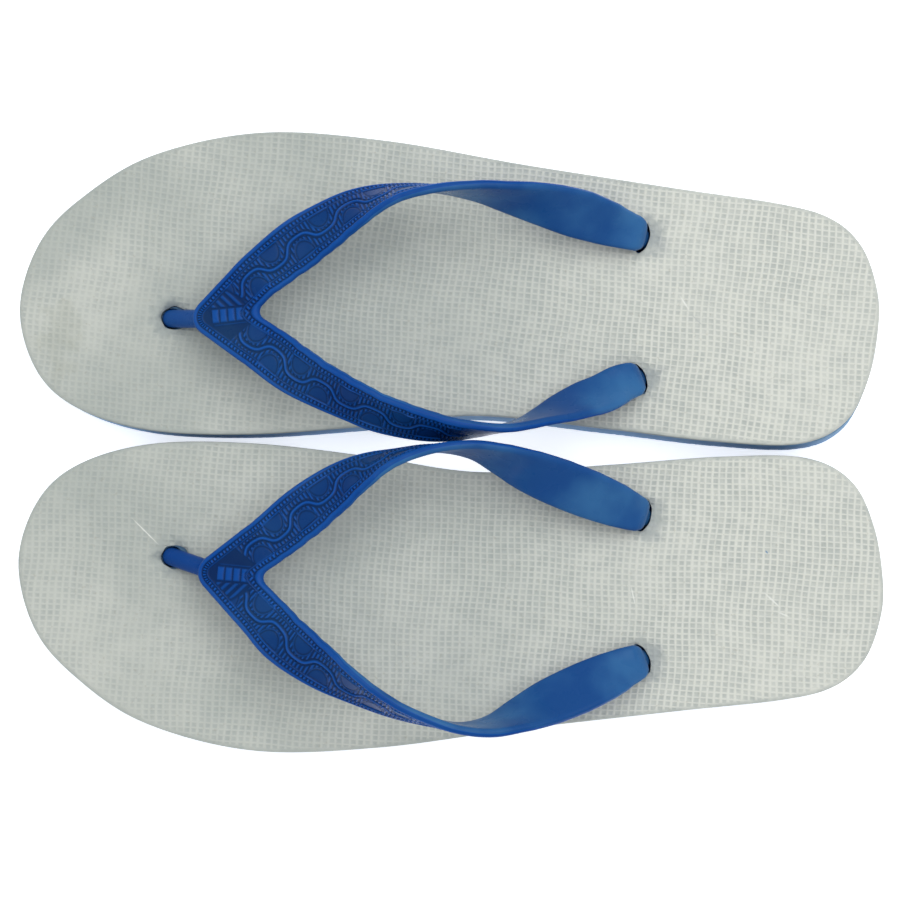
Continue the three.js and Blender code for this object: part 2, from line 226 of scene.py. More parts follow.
class StrapSettings(bpy.types.PropertyGroup):
    """Sizes and colours of the moulded straps"""

    thickness: FloatProperty(
        name="Band thickness", description="Thickness of the band between its rims",
        default=2.8 * MM, unit="LENGTH")
    relief_height: FloatProperty(
        name="Relief height", description="Height of the moulded pattern, as a share of its usual one",
        default=1.0)
    pattern_end: FloatProperty(
        name="Pattern end", description="Length of the patterned stretch of each arm",
        default=92 * MM, unit="LENGTH")
    row_spacing: FloatProperty(
        name="Row spacing", description="Distance between the mesh rows of the patterned stretch",
        default=0.27 * MM, unit="LENGTH")
    rubber_colour: FloatVectorProperty(
        name="Rubber", description="Deep blue of the strap", subtype="COLOR",
        default=(0.002, 0.046, 0.225))
    # Painted sheen and light: this lighter blue stands in for light on the lit side walls and sheen on the
    # smooth back.
    painted_sheen_colour: FloatVectorProperty(
        name="Thin edges", description="Lighter blue of the thin edges and the smooth back",
        subtype="COLOR", default=(0.026, 0.108, 0.262))


class StageSettings(bpy.types.PropertyGroup):
    """Camera, light and floor"""

    distance: FloatProperty(
        name="Camera distance", description="From the camera to the middle of the soles",
        default=0.735, unit="LENGTH")
    tilt: FloatProperty(
        name="Camera tilt", description="Lean of the camera from straight above",
        default=math.radians(3.5), subtype="ANGLE")
    lens: FloatProperty(name="Focal length", description="In millimetres", default=91.7)
    light_power: FloatProperty(
        name="Softbox power", description="Power of the large light above", default=10.0)
    sky_strength: FloatProperty(
        name="Surround", description="Strength of the white surround", default=0.6)


# ---------- curves and places ----------


def smooth_curve(points, share, closed=False):
    """Points of the smooth curve through the given ones, at shares 0 to 1 of its parameter."""
    points = np.asarray(points, float)
    if closed:
        padded = np.vstack([points[-1:], points, points[:2]])
        place = share * len(points)
    else:
        first, last = 2 * points[:1] - points[1:2], 2 * points[-1:] - points[-2:-1]
        padded = np.vstack([first, points, last])
        place = share * (len(points) - 1)
    i = np.clip(np.floor(place).astype(int), 0, len(padded) - 4)
    w = (place - i)[:, None]
    a, b, c, d = padded[i], padded[i + 1], padded[i + 2], padded[i + 3]
    return 0.5 * (2 * b + (c - a) * w + (2 * a - 5 * b + 4 * c - d) * w**2 + (3 * b - a - 3 * c + d) * w**3)


def lengths_along(points):
    """Distance of each point from the first, along the line through them."""
    return np.concatenate([[0], np.cumsum(np.linalg.norm(np.diff(points, axis=0), axis=1))])


def sole_outline(shoe, steps=OUTLINE_STEPS):
    """The sole's outline at equal steps, in the flip flop's own frame."""
    fine = smooth_curve(np.array(SOLE_OUTLINE) * [1, shoe["side"]], np.linspace(0, 1, 4001), closed=True)
    run = lengths_along(fine)
    even = np.linspace(0, run[-1], steps, endpoint=False)
    return np.column_stack([np.interp(even, run, fine[:, k]) for k in (0, 1)])


def turned(shoe, points):
    """Points of the flip flop's own frame, turned and moved to its place in the pair."""
    cos, sin = math.cos(shoe["turn"]), math.sin(shoe["turn"])
    x, y = points[..., 0], points[..., 1]
    return np.stack([x * cos - y * sin, x * sin + y * cos + shoe["middle"]], axis=-1)


def pair_shift(shoe):
    """How far the whole pair was moved to centre it on the floor."""
    lowest = turned(shoe, sole_outline(shoe, 140)).min(axis=0)
    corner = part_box(shoe["name"] + "_footbed")[0]
    return np.array([corner.x / MM, corner.y / MM]) - lowest


def placed(shoe, points):
    """Points of the flip flop's own frame, in millimetres, as points of the pair in metres."""
    points = np.asarray(points, float)
    flat = turned(shoe, points) + pair_shift(shoe)
    return np.concatenate([flat, points[..., 2:3]], axis=-1) * MM


def hole_centres(shoe):
    """The toe hole and the two side holes, in the flip flop's own frame."""
    return [np.array(hole) * [1, shoe["side"]] for hole in (TOE_HOLE, OUTER_HOLE, ARCH_HOLE)]


def circle_round(centre, radius, steps):
    """A closed ring of points round a centre in plan."""
    angle = np.linspace(0, 2 * math.pi, steps, endpoint=False)
    return centre + radius * np.column_stack([np.cos(angle), np.sin(angle)])


# ---------- mesh tools ----------


def deselect_all():
    if bpy.context.mode != "OBJECT":
        bpy.ops.object.mode_set(mode="OBJECT")
    bpy.ops.object.select_all(action="DESELECT")


def only(piece):
    """Makes one piece the active and only selected one."""
    deselect_all()
    piece.select_set(True)
    bpy.context.view_layer.objects.active = piece
    return piece


def edit(piece):
    only(piece)
    bpy.ops.object.mode_set(mode="EDIT")


def done():
    bpy.ops.object.mode_set(mode="OBJECT")


def points_of(piece):
    co = np.empty(len(piece.data.vertices) * 3, np.float32)
    piece.data.vertices.foreach_get("co", co)
    return co.reshape(-1, 3).astype(float)


def move_points(piece, points):
    piece.data.vertices.foreach_set("co", np.asarray(points, np.float32).ravel())
    piece.data.update()


def select_faces(piece, test):
    """Selects, in edit mode, the faces for which test(centre, normal) holds."""
    mesh = bmesh.from_edit_mesh(piece.data)
    bpy.ops.mesh.select_mode(type="FACE")
    for face in mesh.faces:
        face.select_set(bool(test(face.calc_center_median(), face.normal)))
    bmesh.update_edit_mesh(piece.data)


def face_outwards(piece):
    edit(piece)
    bpy.ops.mesh.select_all(action="SELECT")
    bpy.ops.mesh.normals_make_consistent(inside=False)
    done()


def combine(piece, other, operation):
    """Cuts or joins a piece with another, which is used up."""
    only(piece)
    modifier = piece.modifiers.new(operation.title(), "BOOLEAN")
    modifier.operation = operation
    modifier.object = other
    modifier.solver = "MANIFOLD"
    bpy.ops.object.modifier_apply(modifier=modifier.name)
    bpy.data.objects.remove(other)
    if not piece.data.polygons:
        raise RuntimeError(piece.name + " came out empty")
    return piece


def plan_prism(shoe, name, ring, bottom, top):
    """An upright solid over a closed ring of [along, outward] points."""
    deselect_all()
    bpy.ops.mesh.primitive_circle_add(vertices=len(ring), radius=1, fill_type="NGON")
    prism = bpy.context.object
    prism.name = name
    co = points_of(prism)
    order = np.round(np.arctan2(co[:, 1], co[:, 0]) / (2 * math.pi) * len(ring)).astype(int) % len(ring)
    base = np.column_stack([np.asarray(ring)[order], np.full(len(ring), bottom)])
    move_points(prism, placed(shoe, base))
    edit(prism)
    bpy.ops.mesh.select_all(action="SELECT")
    bpy.ops.mesh.extrude_region_move(TRANSFORM_OT_translate={"value": (0, 0, (top - bottom) * MM)})
    done()
    face_outwards(prism)
    return prism


def top_face(piece):
    """Selects the highest upward face, in edit mode."""
    height = max(co[2] for co in piece.bound_box)
    select_faces(piece, lambda centre, normal: normal.z > 0.9 and centre.z > height - 1e-6)


def step_in(piece, steps):
    """Insets the top face again and again, by pairs of (inward, upward) in millimetres."""
    edit(piece)
    top_face(piece)
    for inward, upward in steps:
        bpy.ops.mesh.inset(thickness=inward * MM, depth=upward * MM)
    done()


def slab_of_cells(name, size, pitch, rims, turn=0.0):
    """A flat solid with one hollow for each cell of a grid, each rim a pair of (inward, upward)."""
    deselect_all()
    counts = [round(size[k] / pitch[k]) for k in (0, 1)]
    bpy.ops.mesh.primitive_grid_add(x_subdivisions=counts[0], y_subdivisions=counts[1], size=1)
    slab = bpy.context.object
    slab.name = name
    edit(slab)
    bpy.ops.mesh.select_all(action="SELECT")
    bpy.ops.transform.resize(value=(size[0] * MM, size[1] * MM, 1))
    for inward, upward in rims:
        bpy.ops.mesh.inset(use_individual=True, thickness=inward * MM, depth=upward * MM)
    bpy.ops.mesh.select_all(action="DESELECT")
    bpy.ops.mesh.select_mode(type="EDGE")
    bpy.ops.mesh.select_non_manifold()
    bpy.ops.mesh.extrude_region_move(TRANSFORM_OT_translate={"value": (0, 0, -6 * MM)})
    bpy.ops.mesh.edge_face_add()
    done()
    if turn:
        co = points_of(slab)
        x = co[:, 0] * math.cos(turn) - co[:, 1] * math.sin(turn)
        y = co[:, 0] * math.sin(turn) + co[:, 1] * math.cos(turn)
        move_points(slab, np.column_stack([x, y, co[:, 2]]))
    return slab


def smooth_step(value, low, high):
    share = np.clip((value - low) / (high - low), 0, 1)
    return share * share * (3 - 2 * share)


def ridge(distance, width):
    return np.exp(-((distance / width) ** 2))


# ---------- materials ----------


def new_material(name):
    material = bpy.data.materials.new(name)
    material.use_nodes = True
    return material, material.node_tree, material.node_tree.nodes["Principled BSDF"]


def node(tree, kind, inputs=None, **settings):
    made = tree.nodes.new(kind)
    for key, value in settings.items():
        setattr(made, key, value)
    for key, value in (inputs or {}).items():
        if isinstance(value, bpy.types.NodeSocket):
            tree.links.new(value, made.inputs[key])
        else:
            made.inputs[key].default_value = value
    return made


def noise(tree, vector, scale, detail=2.0, roughness=0.5):
    made = node(tree, "ShaderNodeTexNoise", {"Vector": vector, "Scale": scale, "Detail": detail,
                                             "Roughness": roughness})
    return made.outputs["Fac"]


def ramp(tree, value, low, high, to_low=0.0, to_high=1.0):
    made = node(tree, "ShaderNodeMapRange", {"Value": value, "From Min": low, "From Max": high,
                                             "To Min": to_low, "To Max": to_high},
                interpolation_type="SMOOTHSTEP")
    return made.outputs["Result"]


def blend_colour(tree, share, low, high):
    made = node(tree, "ShaderNodeMix", {0: share}, data_type="RGBA")
    for key, value in ((6, low), (7, high)):
        if isinstance(value, bpy.types.NodeSocket):
            tree.links.new(value, made.inputs[key])
        else:
            made.inputs[key].default_value = (*value[:3], 1)
    return made.outputs[2]


def maths(tree, operation, first, second=0.0):
    made = node(tree, "ShaderNodeMath", {0: first, 1: second}, operation=operation)
    return made.outputs[0]


def near_spot(tree, coordinates, centre, stretch, turn=0.0):
    """Distance from a spot, in units of its stretched size."""
    moved = node(tree, "ShaderNodeMapping",
                 {"Vector": coordinates, "Location": centre, "Rotation": (0, 0, turn)},
                 vector_type="TEXTURE")
    sized = node(tree, "ShaderNodeVectorMath", {0: moved.outputs[0], 1: [1 / s for s in stretch]},
                 operation="MULTIPLY")
    return node(tree, "ShaderNodeVectorMath", {0: sized.outputs[0]}, operation="LENGTH").outputs["Value"]


def finish_surface(tree, shader, colour, specular, grain, strength, depth):
    """Gives a material its colour and its shine, and a fine grain as bump."""
    tree.links.new(colour, shader.inputs["Base Color"])
    shader.inputs["Specular IOR Level"].default_value = specular
    bump = node(tree, "ShaderNodeBump", {"Height": grain, "Strength": strength, "Distance": depth})
    tree.links.new(bump.outputs[0], shader.inputs["Normal"])


def let_light_in(shader, weight, radius, scale):
    shader.inputs["Subsurface Weight"].default_value = weight
    shader.inputs["Subsurface Radius"].default_value = radius
    shader.inputs["Subsurface Scale"].default_value = scale


def finish_piece(piece, shoe, kind, material, angle):
    """Names the piece, gives it its material and body, and hides the plain node under it."""
    piece.name = shoe["name"] + "_" + kind + "_piece"
    piece.data.name = piece.name
    piece.data.materials.clear()
    piece.data.materials.append(material)
    only(piece)
    bpy.ops.object.shade_smooth_by_angle(angle=angle)
    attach(piece, shoe["name"] + "_flip_flop")
    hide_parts(shoe["name"] + "_" + kind)
    return piece


# ---------- footbeds ----------


def neck_ring(shoe, arm, reach, grow, count=40):
    """The oblong hole that an arm's neck goes down through, with a slightly uneven edge."""
    hole = np.array(arm["hole"], float)
    heading = arm_heading(arm)
    angle = np.linspace(0, 2 * math.pi, count, endpoint=False)
    wobble = 1 + 0.03 * np.sin(3 * angle + 1) + 0.02 * np.sin(7 * angle)
    end = (reach + grow) * wobble
    half = (NECK_WIDTH / 2 - 0.5 + grow) * wobble
    x, y = end * np.cos(angle) + 0.3, half * np.sin(angle)
    cos, sin = math.cos(heading), math.sin(heading)
    ring = np.column_stack([x * cos - y * sin, x * sin + y * cos]) + hole
    return ring * [1, shoe["side"]]


def toe_ring(shoe, grow, count=36):
    """The toe hole, drawn out towards the V by the leaning post."""
    angle = np.linspace(0, 2 * math.pi, count, endpoint=False)
    uneven = 1 + 0.03 * np.sin(5 * angle) + 0.02 * np.sin(8 * angle + 1)
    along = (POST_RADIUS + 1.55 + grow) * uneven * np.cos(angle) + 1.0
    outward = (POST_RADIUS + 0.85 + grow) * uneven * np.sin(angle)
    ring = np.column_stack([along, outward]) + TOE_HOLE
    return ring * [1, shoe["side"]]


def hole_rings(shoe, reach, grow):
    """The outlines of the three holes; reach is the side holes' half length along the arm."""
    return [toe_ring(shoe, grow)] + [neck_ring(shoe, arm, reach, grow) for arm in shoe["arms"].values()]


def own_frame(shoe, points):
    """Points of the pair in metres, back in the flip flop's own frame in millimetres."""
    flat = points[:, :2] / MM - pair_shift(shoe) - [0, shoe["middle"]]
    cos, sin = math.cos(shoe["turn"]), math.sin(shoe["turn"])
    return np.column_stack([flat[:, 0] * cos + flat[:, 1] * sin, flat[:, 1] * cos - flat[:, 0] * sin,
                            points[:, 2] / MM])


def stretch_pits(y, pitch):
    """Widens the pits across the sole, which leaves thin lengthwise ridges and broad cross ones."""
    cell = np.round(y / pitch)
    off = y - cell * pitch
    wide = np.interp(np.abs(off) / pitch, [0, 0.078, 0.167, 0.444, 0.5], [0, 0.19, 0.28, 0.455, 0.5])
    return cell * pitch + np.sign(off) * wide * pitch


def soften_net(shoe, slab, pitch):
    """Warps the net slightly, makes it shallow at the toe and draws it down into the holes."""
    co = points_of(slab) / MM
    x, y = co[:, 0], stretch_pits(co[:, 1], pitch)
    skew = NET_SKEW[shoe["name"]]
    warped_x = x - skew * y + 0.35 * np.sin(y / 9 + x / 23) + 0.2 * np.sin(y / 3.7 - x / 11)
    warped_y = y + skew * x + 0.3 * np.sin(x / 11 - y / 31) + 0.12 * np.sin(x / 4.1 + y / 13)
    top = co[:, 2] > -3
    depth = np.where(top, co[:, 2], 0)
    strength = 0.68 + 0.32 * smooth_step(warped_x, -125, -30)
    strength *= 1 + 0.25 * np.sin(x / 17 + 1.3) * np.sin(y / 13)
    swell = 0.06 * np.sin(x / 2.9 + 2 * np.sin(y / 5)) * np.sin(y / 2.3)
    swell += 0.035 * np.sin(x * 1.43 + np.sin(y / 19)) * np.sin(x / 21 + y / 35)
    height = SOLE_TOP - 0.03 + np.where(top, depth * strength + swell, co[:, 2])
    local = np.column_stack([warped_x, warped_y, height])
    for hole in hole_centres(shoe):
        off = local[:, :2] - hole
        distance = np.hypot(off[:, 0], off[:, 1])
        turn = np.arctan2(off[:, 1], off[:, 0])
        dip = 0.55 * ridge(np.maximum(distance - 3.5, 0), 2.6)
        pucker = 0.16 * np.sin(13 * turn + 3 * np.sin(turn)) * ridge(distance - 6.2, 1.8)
        local[:, 2] -= np.where(top, dip - pucker, 0)
    move_points(slab, placed(shoe, local))


def make_footbed(shoe, settings, material):
    depth = settings.pit_depth / MM
    slab = slab_of_cells(
        "net", NET_SIZE, (settings.pitch_along / MM, settings.pitch_across / MM),
        [(inward, -share * depth) for inward, share in PIT_STEPS])
    soften_net(shoe, slab, NET_SIZE[1] / round(NET_SIZE[1] / (settings.pitch_across / MM)))
    face_outwards(slab)
    blank = plan_prism(shoe, "blank", sole_outline(shoe), OUTSOLE_TOP, SOLE_TOP - 0.9)
    step_in(blank, FOOTBED_EDGE)
    footbed = combine(slab, blank, "INTERSECT")
    for ring, bottom, top in (
        [(ring, 5, SOLE_TOP - 1.4) for ring in hole_rings(shoe, SHAFT_REACH, 0)]
        + [(ring, 5, 20) for ring in hole_rings(shoe, MOUTH_REACH, 0)]
        + [(ring, SOLE_TOP - 0.7, 20) for ring in hole_rings(shoe, MOUTH_REACH, 0.35)]
    ):
        combine(footbed, plan_prism(shoe, "shaft", ring, bottom, top), "DIFFERENCE")
    return finish_piece(footbed, shoe, "footbed", material, math.radians(65))


def foam_material(shoe, settings):
    """Greyish white foam rubber, soiled and with painted shade in its pits, and dark hole edges of painted
    shade and dirt.
    """
    material, tree, shader = new_material(shoe["name"] + " white foam rubber")
    coordinates = node(tree, "ShaderNodeTexCoord").outputs["Object"]
    height = node(tree, "ShaderNodeSeparateXYZ", {0: coordinates})
    toeward = ramp(tree, height.outputs["X"], 0.1, -0.06)
    cloud = noise(tree, coordinates, 22, 3)
    soil = maths(tree, "MULTIPLY", maths(tree, "ADD", maths(tree, "MULTIPLY", toeward, 0.7), 0.06),
                 ramp(tree, cloud, 0.3, 0.7, 0.65, 1.25))
    colour = blend_colour(tree, soil, settings.foam_colour, settings.soiled_colour)
    # Painted shade: the net's pits are darkened as shade in its recesses, together with some real dirt in
    # them.
    in_pits = ramp(tree, height.outputs["Z"], (SOLE_TOP - 0.01) * MM, (SOLE_TOP - 0.34) * MM)
    pit_shade_and_dirt = ramp(tree, noise(tree, coordinates, 330, 1), 0.32, 0.68, 0.44, 0.7)
    pit_shade_and_dirt = maths(tree, "MULTIPLY", pit_shade_and_dirt, ramp(tree, noise(tree, coordinates, 35, 2), 0.35, 0.65, 0.82, 1.0))
    colour = blend_colour(tree, maths(tree, "MULTIPLY", in_pits, pit_shade_and_dirt), colour, (0.33, 0.37, 0.36))
    fleck = ramp(tree, noise(tree, coordinates, 900, 2), 0.62, 0.75)
    colour = blend_colour(tree, maths(tree, "MULTIPLY", fleck, 0.25), colour, (0.3, 0.28, 0.22))
    # Dark spots round the holes are dirt and painted shade falling into the holes; the right shoe's extra
    # spot is a real smudge.
    for spot, stretch, strength, tint in dirt_and_hole_shade_spots(shoe):
        off = near_spot(tree, coordinates, spot, stretch)
        fuzz = ramp(tree, noise(tree, coordinates, 140, 3), 0.3, 0.7, -0.35, 0.35)
        broken = maths(tree, "ADD", off, fuzz)
        mask = maths(tree, "MULTIPLY", ramp(tree, broken, 1.0, 0.2), strength)
        colour = blend_colour(tree, mask, colour, tint)
    cuts = 0.0
    for centre, turn, size, tint in cut_marks(shoe):
        off = near_spot(tree, coordinates, centre, (*size, 0.01), turn)
        mark = ramp(tree, off, 1.0, 0.3)
        colour = blend_colour(tree, maths(tree, "MULTIPLY", mark, 0.75), colour, tint)
        cuts = maths(tree, "ADD", mark, cuts)
    shader.inputs["Roughness"].default_value = 0.72
    let_light_in(shader, 0.12, (0.003, 0.003, 0.0025), 0.4)
    grain = maths(tree, "ADD", noise(tree, coordinates, 2600, 3), maths(tree, "MULTIPLY", cuts, 1.5))
    finish_surface(tree, shader, colour, 0.35, grain, 0.25, 0.00015)
    return material


def dirt_and_hole_shade_spots(shoe):
    """Places, sizes, strengths and tints of the marks on a footbed, in metres: dark rings at the holes that
    are dirt and painted shade falling into the holes, and on the right one a real smudge of dirt.
    """
    ends = placed(shoe, np.array([[*hole, SOLE_TOP] for hole in hole_centres(shoe)]))
    # The dark ring round the toe hole is painted shade inside the hole as well as dirt.
    spots = [(tuple(ends[0]), (0.0062, 0.0062, 0.01), 0.85, (0.1, 0.13, 0.16))]
    for end in ends[1:]:
        spots.append((tuple(end + [0.002, 0, 0]), (0.0085, 0.0085, 0.01), 0.35, (0.2, 0.24, 0.28)))
    if shoe["name"] == "right":
        spots.append(((-0.125, 0.034, 0.015), (0.009, 0.018, 0.01), 0.22, (0.3, 0.32, 0.25)))
    return spots


def cut_marks(shoe):
    """Places, turns, sizes and tints of the small cuts and scratches on a footbed, in metres."""
    pale, blue = (0.8, 0.82, 0.78), (0.05, 0.2, 0.4)
    if shoe["name"] == "right":
        return [
            ((0.0755, 0.0440, 0.015), -1.0, (0.0035, 0.0004), pale),
            ((0.0795, 0.0385, 0.015), -0.8, (0.003, 0.0003), (0.45, 0.48, 0.47)),
        ]
    return [
        ((-0.0975, -0.0295, 0.015), -0.78, (0.0075, 0.0003), pale),
        ((0.1030, -0.0515, 0.015), -0.75, (0.0045, 0.0004), pale),
        ((0.1065, -0.0560, 0.015), -0.4, (0.0025, 0.0004), pale),
        ((0.0585, -0.0500, 0.015), -1.35, (0.004, 0.0003), pale),
        ((0.1013, -0.0361, 0.015), -0.9, (0.0008, 0.0004), blue),
    ]


# ---------- outsoles ----------


def make_outsole(shoe, settings, material):
    groove = settings.groove_depth / MM
    pitch = settings.tread_pitch / MM
    steps = [(inward, share * groove) for inward, share in TREAD_STEPS]
    slab = slab_of_cells("tread", TREAD_SIZE, (pitch, pitch), steps, math.radians(45))
    co = points_of(slab) / MM
    co[:, 2] = groove - co[:, 2]
    co[co[:, 2] > groove + 1, 2] = OUTSOLE_TOP + 3
    move_points(slab, placed(shoe, co))
    face_outwards(slab)
    blank = plan_prism(shoe, "blank", sole_outline(shoe), LOWER_BEVEL, OUTSOLE_TOP - 0.01)
    local = own_frame(shoe, points_of(blank))
    low = (local[:, 2] < LOWER_BEVEL + 0.01)[:, None]
    flare = OUTSOLE_FLARE * (0.15 + 0.85 * smooth_step(local[:, :1], -115, -10))
    local[:, :2] *= 1 + low * flare / SOLE_HALF_SIZE
    if shoe["name"] == "right":
        off = np.linalg.norm(local[:, :2] - HEEL_CORNER, axis=1)
        spread = HEEL_SPREAD * ridge(off, HEEL_SPREAD_REACH)[:, None]
        local[:, :2] += (0.35 + 0.65 * low) * spread * [0.7, -0.7]
    move_points(blank, placed(shoe, local))
    edit(blank)
    select_faces(blank, lambda centre, normal: normal.z < -0.9)
    bpy.ops.mesh.inset(thickness=LOWER_BEVEL * MM, depth=LOWER_BEVEL * MM)
    done()
    outsole = combine(slab, blank, "INTERSECT")
    for hole, plug, shaft in zip(hole_centres(shoe), PLUG_RADII, SHAFT_RADII):
        for radius, top in ((plug + SEAT_GAP, PLUG_TOP + SEAT_GAP), (shaft, 20)):
            ring = circle_round(hole, radius, 48)
            combine(outsole, plan_prism(shoe, "shaft", ring, -2, top), "DIFFERENCE")
    return finish_piece(outsole, shoe, "outsole", material, math.radians(35))


def outsole_material(settings):
    """Light blue foam rubber with a fine cut grain on its wall and dust in its tread."""
    material, tree, shader = new_material("blue foam rubber")
    coordinates = node(tree, "ShaderNodeTexCoord").outputs["Object"]
    height = node(tree, "ShaderNodeSeparateXYZ", {0: coordinates}).outputs["Z"]
    cloud = ramp(tree, noise(tree, coordinates, 60, 4), 0.3, 0.7)
    base = settings.rubber_colour
    colour = blend_colour(tree, cloud, [c * 0.93 for c in base], [min(1, c * 1.05) for c in base])
    patches = ramp(tree, noise(tree, coordinates, 180, 4), 0.35, 0.7)
    dust = maths(tree, "MULTIPLY", ramp(tree, height, 0.0012, 0.0), patches)
    colour = blend_colour(tree, maths(tree, "MULTIPLY", dust, 0.45), colour, (0.34, 0.36, 0.36))
    scuff = ramp(tree, noise(tree, coordinates, 420, 3), 0.6, 0.72)
    colour = blend_colour(tree, maths(tree, "MULTIPLY", scuff, 0.15), colour, (0.45, 0.56, 0.7))
    shader.inputs["Roughness"].default_value = 0.66
    finish_surface(tree, shader, colour, 0.35, noise(tree, coordinates, 1500, 4), 0.4, 0.0002)
    return material


# ---------- straps ----------


def arm_heading(arm):
    """The arm's direction in plan where it comes to its hole."""
    last = arm["stations"][-1]
    return math.atan2(arm["hole"][1] - last[1], arm["hole"][0] - last[0])


def half_opening(shoe):
    """Half the angle between the two arms at the V."""
    return math.radians((shoe["arms"]["outer"]["heading"] - shoe["arms"]["arch"]["heading"]) / 2)


def unit(vectors):
    return vectors / np.linalg.norm(vectors, axis=-1, keepdims=True)


class ArmLine:
    """An arm's middle line with the band's frame, looked up by distance from the V."""

    def __init__(self, shoe, name, thickness):
        arm = shoe["arms"][name]
        half = half_opening(shoe)
        climb = PLATE_SLOPE * math.cos(half)
        flat = math.atan(PLATE_SLOPE * math.sin(half) / math.sqrt(1 + climb * climb))
        angle = math.radians(arm["heading"])
        away = np.array([math.cos(angle), math.sin(angle), climb])
        line = [np.array(shoe["apex"]) + PLATE_LENGTH * share * away for share in (0, 0.37, 0.69, 1)]
        profile = [[PLATE_WIDTH, flat, thickness] for _ in line]
        line += [station[:3] for station in arm["stations"]]
        profile += [[s[3], math.radians(s[4]), thickness] for s in arm["stations"]]
        self.heading = arm_heading(arm)
        self.inward = -1 if name == "outer" else 1
        self.hole = arm["hole"]
        back = BEND_RADIUS * (1 - math.sin(BEND_START))
        line.append([self.hole[0] - back * math.cos(self.heading),
                     self.hole[1] - back * math.sin(self.heading),
                     SOLE_TOP + 0.5 + BEND_RADIUS * math.cos(BEND_START)])
        profile.append([NECK_WIDTH, math.pi, NECK_THICKNESS])
        share = np.linspace(0, 1, 3001)
        centre = smooth_curve(line, share)
        self.run = lengths_along(centre)
        self.length = self.run[-1]
        forward = unit(np.gradient(centre, axis=0))
        inner = unit(np.column_stack([-forward[:, 1], forward[:, 0], 0 * share])) * self.inward
        lift = np.cross(forward, inner)
        lift *= np.where(lift[:, 2:] < 0, -1, 1)
        width, roll, deep = smooth_curve(profile, share).T
        across = np.cos(roll)[:, None] * inner + np.sin(roll)[:, None] * lift
        face = -np.sin(roll)[:, None] * inner + np.cos(roll)[:, None] * lift
        self.table = np.column_stack([centre, forward, across, face, width, deep])

    def at(self, run):
        """Centre, forward, across and face directions, width and thickness at distances run."""
        looked = np.stack([np.interp(run, self.run, column) for column in self.table.T], axis=-1)
        return (looked[..., 0:3], looked[..., 3:6], looked[..., 6:9], looked[..., 9:12],
                looked[..., 12], looked[..., 13])


def section_columns(front_steps, back_steps):
    """Places round a section as (side, face) pairs on a square, from the outer front corner."""
    edges = np.array([0, 0.006, 0.02])
    front = np.concatenate([edges - 1, np.linspace(-1, 1, front_steps)[1:-1], (1 - edges)[::-1]])
    edges = np.append(edges, 0.08)
    back = np.concatenate([1 - edges, np.linspace(1, -1, back_steps)[1:-1], (edges - 1)[::-1]])
    places = [(side, 1.0) for side in front] + [(1.0, 0.0)]
    places += [(side, -1.0) for side in back] + [(-1.0, 0.0)]
    places.append(places[0])
    return np.array(places)


def edge_drop(edge, radius):
    """How far a rounded edge falls below the flat, at a distance from the band's edge."""
    inside = np.clip(radius - edge, 0, radius)
    return radius - np.sqrt(np.maximum(radius**2 - inside**2, 0))


def rim_relief(edge, along, pitch):
    """The plain rolled rim, the row of teeth inside it and the fine line inside that."""
    teeth = 0.5 + 0.5 * np.cos(2 * math.pi * along / pitch)
    tooth_row = smooth_step(edge, 1.75, 2.05) * smooth_step(edge, 3.0, 2.7)
    rim = 0.09 * ridge(edge - 0.85, 0.5)
    floor = -0.3 * smooth_step(edge, 1.35, 1.75)
    return rim + floor + 0.5 * tooth_row * smooth_step(teeth, 0.2, 0.75) + 0.3 * ridge(edge - 3.3, 0.2)


def medallion_gap(along, across):
    """Signed distance from a D-shaped medallion with its flat side towards the rim."""
    deep = (MEDALLION_FLAT - across) / MEDALLION_DEPTH
    round_side = (np.hypot(along / MEDALLION_HALF_LENGTH, deep) - 1) * 3.4
    return np.maximum(round_side, across - MEDALLION_FLAT)


def vine_relief(run, across, edge, first, wave):
    """The winding vine, the medallions in its bends and the ribs that fill the rest."""
    phase = 2 * math.pi * (run - first) / wave
    bend = np.tanh(VINE_SHARPNESS * np.cos(phase))
    swing = VINE_SWING / math.tanh(VINE_SHARPNESS)
    vine = -swing * bend
    slope = swing * (1 - bend**2) * VINE_SHARPNESS * np.sin(phase) * 2 * math.pi / wave
    off = np.abs(across - vine) / np.sqrt(1 + slope**2)
    turns = phase / (2 * math.pi)
    inner = medallion_gap((turns - np.round(turns)) * wave, across)
    outer = medallion_gap((turns - 0.5 - np.round(turns - 0.5)) * wave, -across)
    gap = np.minimum(inner, outer)
    ribs = smooth_step(0.5 + 0.5 * np.cos(2 * math.pi * run / RIB_PITCH), 0.25, 0.75)
    room = smooth_step(edge, 3.65, 3.9) * smooth_step(gap, 0.65, 0.9) * smooth_step(off, 0.95, 1.2)
    relief = 0.5 * ridge(off, 0.42) - 0.12 * ridge(off - 0.85, 0.22)
    relief += 0.16 * smooth_step(-gap, -0.05, 0.2) + 0.28 * ridge(gap - 0.5, 0.19)
    return relief + 0.36 * ribs * room


def centre_relief(ahead, aside, edge):
    """The V's middle: a column of pads, slanting bars beside it and a plain triangle."""
    nearest = np.clip(np.round((ahead - 0.5) / PAD_PITCH), 0, 4)
    pad = np.maximum(np.abs(ahead - 0.5 - PAD_PITCH * nearest) / 1.1, np.abs(aside) / 2.2)
    relief = 0.36 * smooth_step(1.12 - pad, 0, 0.35)
    slant = smooth_step(0.5 + 0.5 * np.cos(2 * math.pi * (ahead * 0.8 + aside * 0.75) / 2.3), 0.25, 0.8)
    beside = smooth_step(aside, 2.6, 2.9) * smooth_step(edge, 3.7, 4.0)
    relief += 0.3 * slant * beside
    framed = ridge(aside + 2.9, 0.2) * smooth_step(ahead, -0.5, 0.3) * smooth_step(edge, 3.5, 3.9)
    return relief + 0.22 * framed


